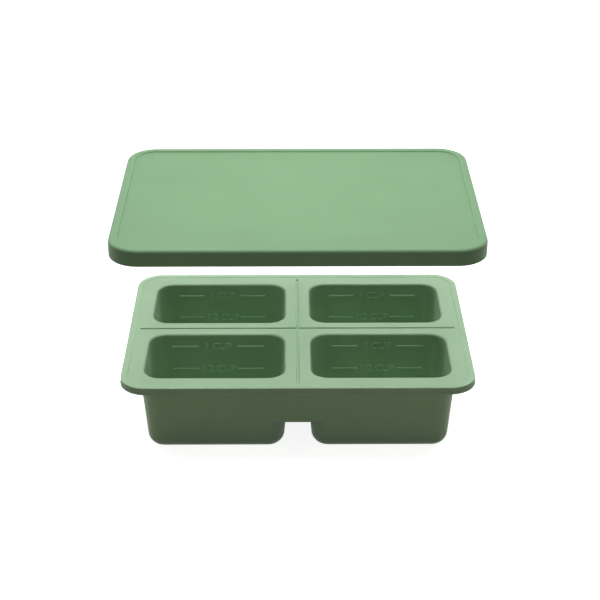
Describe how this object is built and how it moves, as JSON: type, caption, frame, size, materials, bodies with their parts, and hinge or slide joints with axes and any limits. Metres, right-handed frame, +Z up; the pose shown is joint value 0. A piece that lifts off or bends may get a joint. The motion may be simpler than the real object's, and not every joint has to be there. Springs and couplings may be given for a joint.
{
  "type": "baby food freezer tray",
  "caption": "Soft moulded freezer tray with deep portion cups, raised measuring lines, a steel-stiffened rim and a shallow lift-off lid with a recessed panel.",
  "frame": {"origin": "under the middle of the tray, on the surface that it stands on", "axes": "+X to the right along the long side, +Y to the back, where the measuring lines are, +Z up, the way the lid lifts"},
  "size_m": [0.2462, 0.1752, 0.1623],
  "materials": {
    "tray_silicone": "satin moulded silicone",
    "frame_steel": "drawn wire",
    "lid_silicone": "satin moulded silicone"
  },
  "bodies": {
    "tray": {"tray": "tray_silicone", "rim_frame": "frame_steel"},
    "lid": {"lid": "lid_silicone"}
  },
  "joints": [
    {"name": "lid_lift", "type": "slide", "parent": "tray", "child": "lid", "axis": [0, 0, 1], "range_m": [-0.1, 0]}
  ]
}
